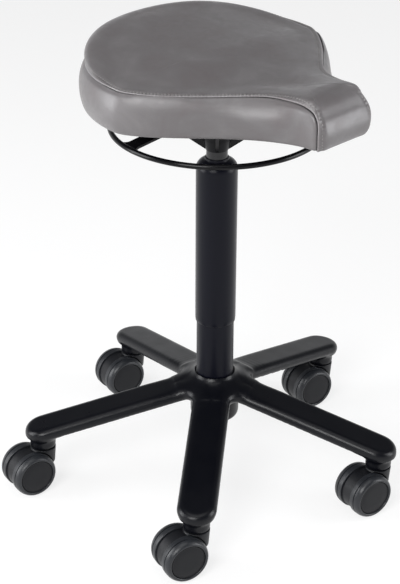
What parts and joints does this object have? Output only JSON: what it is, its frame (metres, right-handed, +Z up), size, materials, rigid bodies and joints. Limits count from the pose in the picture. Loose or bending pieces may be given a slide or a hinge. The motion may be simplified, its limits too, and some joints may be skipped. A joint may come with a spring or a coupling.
{
  "type": "saddle stool",
  "caption": "Swivel stool with a padded saddle seat on a gas-lift column, a star base on twin-wheel casters, and a ring under the seat that releases the lift.",
  "frame": {"origin": "on the floor, on the column's axis", "axes": "+Z up along the column; the nose of the seat points to -Y; +X is the sitter's left hand side as they sit facing -Y"},
  "size_m": [0.5204, 0.515, 0.6228],
  "materials": {
    "base_casting": "satin",
    "black_paint": "satin",
    "column_cover": "satin",
    "bush_plastic": "matte",
    "bright_steel": "satin",
    "cylinder_paint": "gloss",
    "grey_paint": "satin",
    "ring_paint": "satin",
    "pan_plastic": "matte",
    "foam": "matte",
    "leather": "satin",
    "hood_plastic": "satin",
    "wheel_plastic": "satin",
    "tyre": "satin"
  },
  "bodies": {
    "base": {"base_star": "base_casting", "standpipe": "black_paint", "guide_bush": "bush_plastic", "bearing_washer_lower": "bright_steel", "caster_1_stem": "bright_steel", "caster_2_stem": "bright_steel", "caster_3_stem": "bright_steel", "caster_4_stem": "bright_steel", "caster_5_stem": "bright_steel"},
    "piston": {"piston_rod": "bright_steel", "piston_head": "bush_plastic", "rod_clip": "bright_steel", "bearing_washer_upper": "bright_steel", "bearing_cage": "bright_steel"},
    "seat": {"gas_cylinder": "cylinder_paint", "cylinder_gland": "bush_plastic", "column_cover": "column_cover", "taper_socket": "black_paint", "seat_plate": "black_paint", "seat_screws": "bright_steel", "seat_spider": "grey_paint", "seat_pan": "pan_plastic", "seat_foam": "foam", "leather_top": "leather", "leather_band": "leather"},
    "release_ring": {"release_ring": "ring_paint"},
    "release_button": {"release_button": "bright_steel"},
    "caster_1": {"caster_1_hood": "hood_plastic", "caster_1_axle": "bright_steel"},
    "caster_1_left_wheel": {"caster_1_wheel_left": "wheel_plastic", "caster_1_tyre_left": "tyre"},
    "caster_1_right_wheel": {"caster_1_wheel_right": "wheel_plastic", "caster_1_tyre_right": "tyre"},
    "caster_2": {"caster_2_hood": "hood_plastic", "caster_2_axle": "bright_steel"},
    "caster_2_left_wheel": {"caster_2_wheel_left": "wheel_plastic", "caster_2_tyre_left": "tyre"},
    "caster_2_right_wheel": {"caster_2_wheel_right": "wheel_plastic", "caster_2_tyre_right": "tyre"},
    "caster_3": {"caster_3_hood": "hood_plastic", "caster_3_axle": "bright_steel"},
    "caster_3_left_wheel": {"caster_3_wheel_left": "wheel_plastic", "caster_3_tyre_left": "tyre"},
    "caster_3_right_wheel": {"caster_3_wheel_right": "wheel_plastic", "caster_3_tyre_right": "tyre"},
    "caster_4": {"caster_4_hood": "hood_plastic", "caster_4_axle": "bright_steel"},
    "caster_4_left_wheel": {"caster_4_wheel_left": "wheel_plastic", "caster_4_tyre_left": "tyre"},
    "caster_4_right_wheel": {"caster_4_wheel_right": "wheel_plastic", "caster_4_tyre_right": "tyre"},
    "caster_5": {"caster_5_hood": "hood_plastic", "caster_5_axle": "bright_steel"},
    "caster_5_left_wheel": {"caster_5_wheel_left": "wheel_plastic", "caster_5_tyre_left": "tyre"},
    "caster_5_right_wheel": {"caster_5_wheel_right": "wheel_plastic", "caster_5_tyre_right": "tyre"}
  },
  "joints": [
    {"name": "seat_spin", "type": "hinge", "parent": "base", "child": "piston", "pos_m": [0, 0, 0.078], "axis": [0, 0, 1], "continuous": true},
    {"name": "seat_lift", "type": "slide", "parent": "piston", "child": "seat", "axis": [0, 0, 1], "range_m": [-0.075, 0.125]},
    {"name": "ring_rock", "type": "hinge", "parent": "seat", "child": "release_ring", "pos_m": [-0.02967, 0.00443, 0.5316], "axis": [0.1478, 0.989, 0], "range_deg": [0, 4], "stiffness_Nm_per_rad": 5, "springref_deg": -2.86},
    {"name": "button_press", "type": "slide", "parent": "seat", "child": "release_button", "axis": [0, 0, -1], "range_m": [0, 0.0025]},
    {"name": "caster_1_swivel", "type": "hinge", "parent": "base", "child": "caster_1", "pos_m": [-0.18263, -0.15324, 0.0612], "axis": [0, 0, 1], "continuous": true},
    {"name": "caster_1_left_spin", "type": "hinge", "parent": "caster_1", "child": "caster_1_left_wheel", "pos_m": [-0.20563, -0.14638, 0.0305], "axis": [-0.2857, -0.9583, 0], "continuous": true},
    {"name": "caster_1_right_spin", "type": "hinge", "parent": "caster_1", "child": "caster_1_right_wheel", "pos_m": [-0.20563, -0.14638, 0.0305], "axis": [-0.2857, -0.9583, 0], "continuous": true},
    {"name": "caster_2_swivel", "type": "hinge", "parent": "base", "child": "caster_2", "pos_m": [0.08931, -0.22104, 0.0612], "axis": [0, 0, 1], "continuous": true},
    {"name": "caster_2_left_spin", "type": "hinge", "parent": "caster_2", "child": "caster_2_left_wheel", "pos_m": [0.0657, -0.21671, 0.0305], "axis": [-0.1805, -0.9836, 0], "continuous": true},
    {"name": "caster_2_right_spin", "type": "hinge", "parent": "caster_2", "child": "caster_2_right_wheel", "pos_m": [0.0657, -0.21671, 0.0305], "axis": [-0.1805, -0.9836, 0], "continuous": true},
    {"name": "caster_3_swivel", "type": "hinge", "parent": "base", "child": "caster_3", "pos_m": [0.23782, 0.01663, 0.0612], "axis": [0, 0, 1], "continuous": true},
    {"name": "caster_3_left_spin", "type": "hinge", "parent": "caster_3", "child": "caster_3_left_wheel", "pos_m": [0.21434, 0.02162, 0.0305], "axis": [-0.2079, -0.9781, 0], "continuous": true},
    {"name": "caster_3_right_spin", "type": "hinge", "parent": "caster_3", "child": "caster_3_right_wheel", "pos_m": [0.21434, 0.02162, 0.0305], "axis": [-0.2079, -0.9781, 0], "continuous": true},
    {"name": "caster_4_swivel", "type": "hinge", "parent": "base", "child": "caster_4", "pos_m": [0.05767, 0.23132, 0.0612], "axis": [0, 0, 1], "continuous": true},
    {"name": "caster_4_left_spin", "type": "hinge", "parent": "caster_4", "child": "caster_4_left_wheel", "pos_m": [0.0342, 0.23631, 0.0305], "axis": [-0.2079, -0.9781, 0], "continuous": true},
    {"name": "caster_4_right_spin", "type": "hinge", "parent": "caster_4", "child": "caster_4_right_wheel", "pos_m": [0.0342, 0.23631, 0.0305], "axis": [-0.2079, -0.9781, 0], "continuous": true},
    {"name": "caster_5_swivel", "type": "hinge", "parent": "base", "child": "caster_5", "pos_m": [-0.20217, 0.12633, 0.0612], "axis": [0, 0, 1], "continuous": true},
    {"name": "caster_5_left_spin", "type": "hinge", "parent": "caster_5", "child": "caster_5_left_wheel", "pos_m": [-0.22579, 0.13062, 0.0305], "axis": [-0.1788, -0.9839, 0], "continuous": true},
    {"name": "caster_5_right_spin", "type": "hinge", "parent": "caster_5", "child": "caster_5_right_wheel", "pos_m": [-0.22579, 0.13062, 0.0305], "axis": [-0.1788, -0.9839, 0], "continuous": true}
  ],
  "couplings": [
    {"joint": "button_press", "follows": "ring_rock", "m_per_rad": 0.03}
  ]
}
